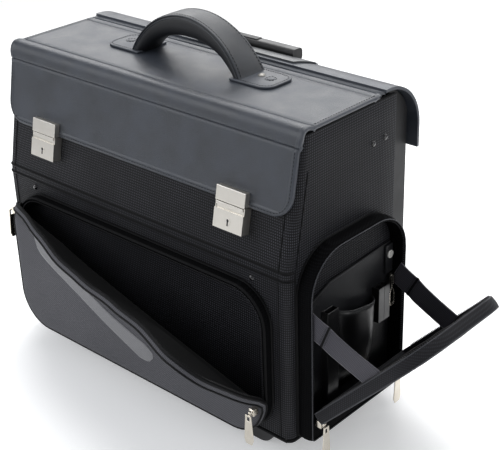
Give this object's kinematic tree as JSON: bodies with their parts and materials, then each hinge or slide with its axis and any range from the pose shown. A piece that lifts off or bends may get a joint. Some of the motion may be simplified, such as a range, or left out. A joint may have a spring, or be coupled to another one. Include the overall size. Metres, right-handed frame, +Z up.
{
  "type": "pilot rolling flight case",
  "caption": "Stiff top-opening flight case on rear wheels, with a latched front flap, zipped front pocket, drop-down end pocket, carry handle and telescopic trolley handle.",
  "frame": {"origin": "on the floor, under the middle of the case body's length and depth", "axes": "+X to the right along the longest side, towards the end with the drop-down pocket; +Y to the back, where the wheels and the trolley handle are; +Z up"},
  "size_m": [0.6227, 0.3416, 0.447],
  "materials": {
    "nylon_weave": "woven nylon bonded to board, matt with a faint sheen",
    "leather": "grained coated leather, satin",
    "moulded_plastic": "moulded, finely textured",
    "lining": "plain woven lining",
    "satin_nickel": "satin nickel plate",
    "polished_nickel": "polished nickel plate",
    "black_rivet": "black enamelled steel",
    "webbing": "woven polyester webbing",
    "white_stud": "gloss",
    "drawn_aluminium": "drawn and anodised",
    "axle_steel": "turned steel",
    "tyre": "moulded rubber"
  },
  "bodies": {
    "case": {"base_board": "moulded_plastic", "front_board": "nylon_weave", "end_board_left": "nylon_weave", "end_board_right": "nylon_weave", "rear_housing": "moulded_plastic", "rear_cover": "leather", "false_back": "lining", "hinge_strip": "leather", "body_rivets": "black_rivet", "lock_body_left": "satin_nickel", "lock_body_right": "satin_nickel", "front_pocket_rim": "nylon_weave", "front_pocket_panel": "nylon_weave", "front_zip_sliders": "polished_nickel", "end_pocket_frame": "nylon_weave", "end_zip_sliders": "polished_nickel", "strap_front": "webbing", "strap_rear": "webbing", "organiser_panel": "leather", "phone_pocket": "leather", "slim_pocket": "leather", "pen_loops": "leather", "key_tab": "leather", "snap_stud": "white_stud", "trolley_bezel": "moulded_plastic", "outer_tubes": "drawn_aluminium", "tube_bushes": "moulded_plastic", "tube_foot_blocks": "moulded_plastic", "wheel_housings": "moulded_plastic", "wheel_axles": "axle_steel", "front_feet": "moulded_plastic"},
    "lid": {"lid_board": "leather", "carry_handle": "leather", "handle_tabs": "leather", "handle_rivets": "satin_nickel"},
    "front_flap": {"flap_board": "leather", "hasp_plates": "satin_nickel"},
    "front_pocket_flap": {"front_pocket_flap": "nylon_weave"},
    "end_tray": {"end_pocket_tray": "nylon_weave", "tray_inner_pocket": "lining"},
    "lock_slider_left": {"lock_slider_left": "satin_nickel"},
    "lock_slider_right": {"lock_slider_right": "satin_nickel"},
    "key_plug_left": {"key_plug_left": "satin_nickel"},
    "key_plug_right": {"key_plug_right": "satin_nickel"},
    "front_pull_left": {"front_pull_left": "polished_nickel"},
    "front_pull_right": {"front_pull_right": "polished_nickel"},
    "end_pull_front": {"end_pull_front": "polished_nickel"},
    "end_pull_rear": {"end_pull_rear": "polished_nickel"},
    "key_hook": {"key_hook": "satin_nickel"},
    "trolley_lower": {"middle_tubes": "drawn_aluminium"},
    "trolley_upper": {"inner_tubes": "drawn_aluminium", "trolley_grip": "moulded_plastic"},
    "release_button": {"release_button": "moulded_plastic", "release_rods": "drawn_aluminium"},
    "wheel_left": {"wheel_hub_left": "moulded_plastic", "wheel_tyre_left": "tyre"},
    "wheel_right": {"wheel_hub_right": "moulded_plastic", "wheel_tyre_right": "tyre"}
  },
  "joints": [
    {"name": "lid_hinge", "type": "hinge", "parent": "case", "child": "lid", "pos_m": [0, 0.049, 0.387], "axis": [-1, 0, 0], "range_deg": [0, 75], "deforming": ["hinge_strip"]},
    {"name": "front_flap_hinge", "type": "hinge", "parent": "lid", "child": "front_flap", "pos_m": [0, -0.081, 0.388], "axis": [-1, 0, 0], "range_deg": [0, 110]},
    {"name": "front_pocket_fold", "type": "hinge", "parent": "case", "child": "front_pocket_flap", "pos_m": [-0.207, -0.1285, 0.196], "axis": [0.9605, 0, -0.2784], "range_deg": [-52, 0]},
    {"name": "end_tray_hinge", "type": "hinge", "parent": "case", "child": "end_tray", "pos_m": [0.25, 0, 0.069], "axis": [0, 1, 0], "range_deg": [-43.7, 0], "deforming": ["strap_front", "strap_rear"]},
    {"name": "lock_slide_left", "type": "slide", "parent": "case", "child": "lock_slider_left", "axis": [0, -0.1973, -0.9803], "range_m": [0, 0.0035], "stiffness_N_per_m": 300, "springref_m": -0.003},
    {"name": "lock_slide_right", "type": "slide", "parent": "case", "child": "lock_slider_right", "axis": [0, -0.1973, -0.9803], "range_m": [0, 0.0035], "stiffness_N_per_m": 300, "springref_m": -0.003},
    {"name": "key_turn_left", "type": "hinge", "parent": "case", "child": "key_plug_left", "pos_m": [-0.152, -0.11385, 0.2782], "axis": [0, -0.9803, 0.1973], "range_deg": [0, 90]},
    {"name": "key_turn_right", "type": "hinge", "parent": "case", "child": "key_plug_right", "pos_m": [0.152, -0.11385, 0.2782], "axis": [0, -0.9803, 0.1973], "range_deg": [0, 90]},
    {"name": "front_pull_left_swing", "type": "hinge", "parent": "case", "child": "front_pull_left", "pos_m": [-0.2196, -0.122, 0.1804], "axis": [0, 1, 0], "range_deg": [0, 120]},
    {"name": "front_pull_right_swing", "type": "hinge", "parent": "case", "child": "front_pull_right", "pos_m": [0.199, -0.1426, 0.0684], "axis": [-1, 0, 0], "range_deg": [0, 120]},
    {"name": "end_pull_front_swing", "type": "hinge", "parent": "case", "child": "end_pull_front", "pos_m": [0.2628, -0.088, 0.0524], "axis": [0, -1, 0], "range_deg": [0, 120]},
    {"name": "end_pull_rear_swing", "type": "hinge", "parent": "case", "child": "end_pull_rear", "pos_m": [0.2628, 0.043, 0.0524], "axis": [0, -1, 0], "range_deg": [0, 120]},
    {"name": "key_hook_swivel", "type": "hinge", "parent": "case", "child": "key_hook", "pos_m": [0.239, 0.06, 0.165], "axis": [0, 0, 1], "continuous": true},
    {"name": "trolley_lower_slide", "type": "slide", "parent": "case", "child": "trolley_lower", "axis": [0, 0, 1], "range_m": [0, 0.28]},
    {"name": "trolley_upper_slide", "type": "slide", "parent": "trolley_lower", "child": "trolley_upper", "axis": [0, 0, 1], "range_m": [0, 0.28]},
    {"name": "release_press", "type": "slide", "parent": "trolley_upper", "child": "release_button", "axis": [0, 0, -1], "range_m": [0, 0.003], "stiffness_N_per_m": 600, "springref_m": -0.004},
    {"name": "wheel_left_spin", "type": "hinge", "parent": "case", "child": "wheel_left", "pos_m": [-0.19, 0.084, 0.032], "axis": [1, 0, 0], "continuous": true},
    {"name": "wheel_right_spin", "type": "hinge", "parent": "case", "child": "wheel_right", "pos_m": [0.19, 0.084, 0.032], "axis": [1, 0, 0], "continuous": true}
  ]
}
